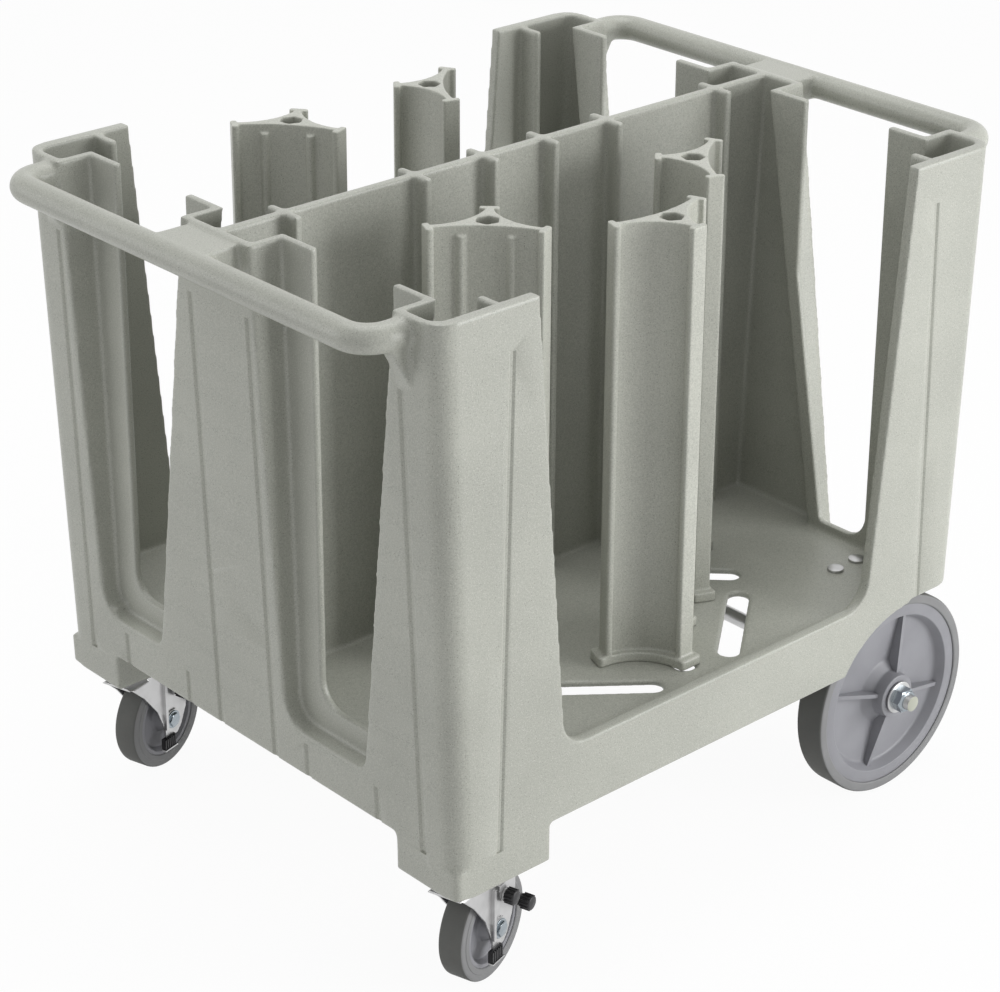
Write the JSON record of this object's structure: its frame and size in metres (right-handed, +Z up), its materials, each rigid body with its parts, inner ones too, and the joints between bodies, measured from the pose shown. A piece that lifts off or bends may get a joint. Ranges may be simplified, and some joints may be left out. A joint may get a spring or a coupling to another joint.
{
  "type": "plate dispenser cart",
  "caption": "Moulded two-well cart that holds stacks of plates between sliding guide towers, with hand slots, end bars, swivel casters and large fixed wheels.",
  "frame": {"origin": "on the ground under the middle of the cart's length and width", "axes": "+X along the cart towards the large fixed wheels, +Y across to the left of someone walking towards +X, +Z up"},
  "size_m": [0.953, 0.73, 0.806],
  "materials": {
    "body_plastic": "satin moulded, finely speckled",
    "tower_plastic": "satin moulded, finely speckled",
    "zinc_steel": "bright zinc plated",
    "dark_steel": "black coated",
    "black_plastic": "black moulded",
    "wheel_core_plastic": "satin moulded grey",
    "wheel_tyre_rubber": "matte grey",
    "bush_plastic": "plain white"
  },
  "bodies": {
    "cart": {"floor_pan": "body_plastic", "centre_wall": "body_plastic", "end_wall_casters": "body_plastic", "end_wall_wheels": "body_plastic", "skirt_ends": "body_plastic", "side_sills": "body_plastic", "end_bars": "body_plastic", "plate_bolts": "zinc_steel", "rear_axle": "zinc_steel", "axle_brackets": "dark_steel", "bracket_bolts": "zinc_steel", "axle_spacers": "zinc_steel", "axle_washers": "zinc_steel", "axle_nuts": "zinc_steel", "caster_plate_left": "zinc_steel", "swivel_race_left": "zinc_steel", "kingpin_left": "zinc_steel", "caster_plate_right": "zinc_steel", "swivel_race_right": "zinc_steel", "kingpin_right": "zinc_steel"},
    "tower_body_1": {"tower_1": "tower_plastic", "stud_1": "zinc_steel", "clamp_washer_1": "zinc_steel"},
    "knob_body_1": {"wing_knob_1": "black_plastic"},
    "tower_body_2": {"tower_2": "tower_plastic", "stud_2": "zinc_steel", "clamp_washer_2": "zinc_steel"},
    "knob_body_2": {"wing_knob_2": "black_plastic"},
    "tower_body_3": {"tower_3": "tower_plastic", "stud_3": "zinc_steel", "clamp_washer_3": "zinc_steel"},
    "knob_body_3": {"wing_knob_3": "black_plastic"},
    "tower_body_4": {"tower_4": "tower_plastic", "stud_4": "zinc_steel", "clamp_washer_4": "zinc_steel"},
    "knob_body_4": {"wing_knob_4": "black_plastic"},
    "tower_body_5": {"tower_5": "tower_plastic", "stud_5": "zinc_steel", "clamp_washer_5": "zinc_steel"},
    "knob_body_5": {"wing_knob_5": "black_plastic"},
    "fork_body_left": {"caster_fork_left": "zinc_steel", "caster_bolt_left": "zinc_steel", "caster_nut_left": "zinc_steel"},
    "caster_wheel_body_left": {"caster_core_left": "wheel_core_plastic", "caster_tyre_left": "wheel_tyre_rubber"},
    "brake_body_left": {"brake_arm_left": "zinc_steel", "brake_grips_left": "black_plastic"},
    "wheel_body_left": {"wheel_core_left": "wheel_core_plastic", "wheel_tyre_left": "wheel_tyre_rubber", "wheel_bush_left": "bush_plastic"},
    "fork_body_right": {"caster_fork_right": "zinc_steel", "caster_bolt_right": "zinc_steel", "caster_nut_right": "zinc_steel"},
    "caster_wheel_body_right": {"caster_core_right": "wheel_core_plastic", "caster_tyre_right": "wheel_tyre_rubber"},
    "brake_body_right": {"brake_arm_right": "zinc_steel", "brake_grips_right": "black_plastic"},
    "wheel_body_right": {"wheel_core_right": "wheel_core_plastic", "wheel_tyre_right": "wheel_tyre_rubber", "wheel_bush_right": "bush_plastic"}
  },
  "joints": [
    {"name": "tower_slide_1", "type": "slide", "parent": "cart", "child": "tower_body_1", "axis": [-0.7793, -0.6266, 0], "range_m": [-0.026, 0.072]},
    {"name": "knob_turn_1", "type": "hinge", "parent": "tower_body_1", "child": "knob_body_1", "pos_m": [-0.10488, 0.26533, 0.24], "axis": [0, 0, 1], "continuous": true},
    {"name": "tower_slide_2", "type": "slide", "parent": "cart", "child": "tower_body_2", "axis": [0.7793, -0.6266, 0], "range_m": [-0.026, 0.072]},
    {"name": "knob_turn_2", "type": "hinge", "parent": "tower_body_2", "child": "knob_body_2", "pos_m": [0.10488, 0.26533, 0.24], "axis": [0, 0, 1], "continuous": true},
    {"name": "tower_slide_3", "type": "slide", "parent": "cart", "child": "tower_body_3", "axis": [-0.7071, -0.7071, 0], "range_m": [-0.045, 0.058]},
    {"name": "knob_turn_3", "type": "hinge", "parent": "tower_body_3", "child": "knob_body_3", "pos_m": [-0.154, -0.13, 0.24], "axis": [0, 0, 1], "continuous": true},
    {"name": "tower_slide_4", "type": "slide", "parent": "cart", "child": "tower_body_4", "axis": [0.7071, -0.7071, 0], "range_m": [-0.045, 0.058]},
    {"name": "knob_turn_4", "type": "hinge", "parent": "tower_body_4", "child": "knob_body_4", "pos_m": [0.154, -0.13, 0.24], "axis": [0, 0, 1], "continuous": true},
    {"name": "tower_slide_5", "type": "slide", "parent": "cart", "child": "tower_body_5", "axis": [0, 1, 0], "range_m": [-0.028, 0.02]},
    {"name": "knob_turn_5", "type": "hinge", "parent": "tower_body_5", "child": "knob_body_5", "pos_m": [0, -0.25, 0.24], "axis": [0, 0, 1], "continuous": true},
    {"name": "caster_swivel_left", "type": "hinge", "parent": "cart", "child": "fork_body_left", "pos_m": [-0.33, 0.2975, 0.135], "axis": [0, 0, 1], "continuous": true},
    {"name": "caster_roll_left", "type": "hinge", "parent": "fork_body_left", "child": "caster_wheel_body_left", "pos_m": [-0.30308, 0.30522, 0.0635], "axis": [-0.2756, 0.9613, 0], "continuous": true},
    {"name": "brake_swing_left", "type": "hinge", "parent": "fork_body_left", "child": "brake_body_left", "pos_m": [-0.29155, 0.30852, 0.1], "axis": [-0.2756, 0.9613, 0], "range_deg": [-30, 30]},
    {"name": "wheel_roll_left", "type": "hinge", "parent": "cart", "child": "wheel_body_left", "pos_m": [0.3175, 0.313, 0.127], "axis": [0, 1, 0], "continuous": true},
    {"name": "caster_swivel_right", "type": "hinge", "parent": "cart", "child": "fork_body_right", "pos_m": [-0.33, -0.2975, 0.135], "axis": [0, 0, 1], "continuous": true},
    {"name": "caster_roll_right", "type": "hinge", "parent": "fork_body_right", "child": "caster_wheel_body_right", "pos_m": [-0.30308, -0.28978, 0.0635], "axis": [-0.2756, 0.9613, 0], "continuous": true},
    {"name": "brake_swing_right", "type": "hinge", "parent": "fork_body_right", "child": "brake_body_right", "pos_m": [-0.29155, -0.28647, 0.1], "axis": [-0.2756, 0.9613, 0], "range_deg": [-30, 30]},
    {"name": "wheel_roll_right", "type": "hinge", "parent": "cart", "child": "wheel_body_right", "pos_m": [0.3175, -0.313, 0.127], "axis": [0, 1, 0], "continuous": true}
  ]
}
